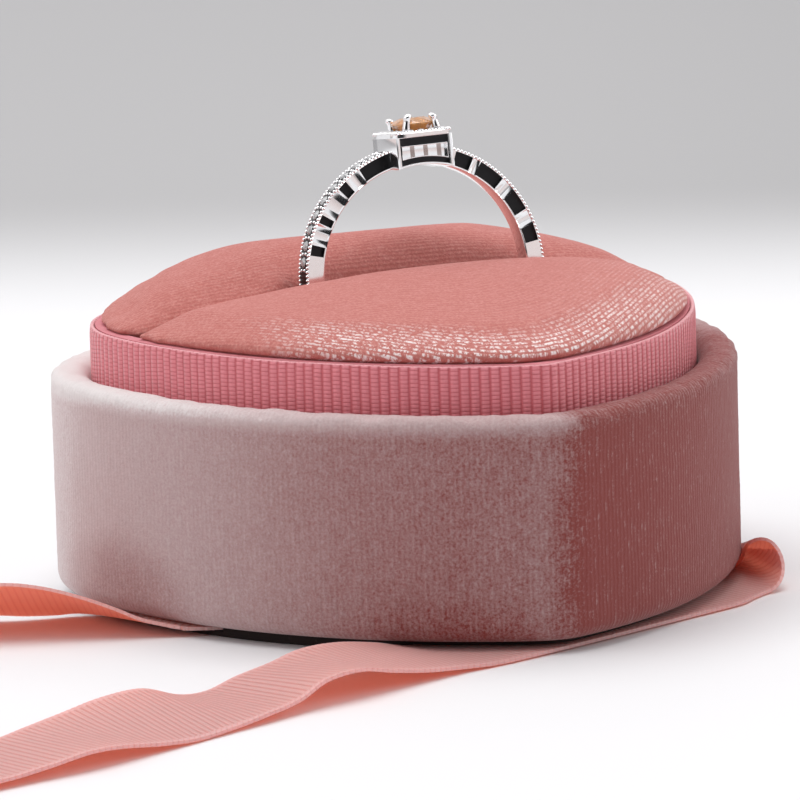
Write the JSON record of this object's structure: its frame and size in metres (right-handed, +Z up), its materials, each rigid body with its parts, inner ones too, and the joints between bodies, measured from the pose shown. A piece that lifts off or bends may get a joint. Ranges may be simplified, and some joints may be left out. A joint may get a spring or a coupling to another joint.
{
  "type": "jewelry box",
  "caption": "Open heart-shaped velvet ring box base with a split ring cushion, a raised ribbed collar, loose tie ribbons and a displayed ring.",
  "frame": {"origin": "middle of the flat underside, where the base rests on a surface", "axes": "+Z up, +X along the ring slot, and the tip of the heart points to -Y"},
  "size_m": [0.1129, 0.0842, 0.0372],
  "materials": {
    "moulded_shell": "plain moulded, hidden under the velvet",
    "base_velvet": "dusty rose velvet with a pale sheen where it turns away",
    "underside_board": "flat dark paper face",
    "collar_card": "plain card, hidden by the ribbon",
    "collar_grosgrain": "pink ribbed ribbon",
    "cushion_board": "plain card",
    "cushion_foam": "soft open foam",
    "cushion_velvet": "salmon velvet with pale glints in the pile",
    "tie_grosgrain": "coral ribbed ribbon, pale at a grazing angle",
    "silver": "polished white metal",
    "centre_stone": "faceted peach stone",
    "clear_stone": "faceted clear stone"
  },
  "bodies": {
    "base": {"base_shell": "moulded_shell", "base_velvet": "base_velvet", "bottom_liner": "underside_board", "collar_core": "collar_card", "collar_ribbon": "collar_grosgrain", "pad_board": "cushion_board", "pad_front_foam": "cushion_foam", "pad_back_foam": "cushion_foam", "pad_front_velvet": "cushion_velvet", "pad_back_velvet": "cushion_velvet", "tie_ribbon_left": "tie_grosgrain", "tie_ribbon_right": "tie_grosgrain"},
    "ring": {"ring_shank": "silver", "ring_head": "silver", "ring_halo": "silver", "ring_prongs": "silver", "ring_center_stone": "centre_stone", "ring_halo_stones": "clear_stone", "ring_shank_stones": "clear_stone"}
  },
  "joints": [
    {"name": "ring_lift", "type": "slide", "parent": "base", "child": "ring", "axis": [0, 0.1323, 0.9912], "range_m": [0, 0.03]}
  ]
}
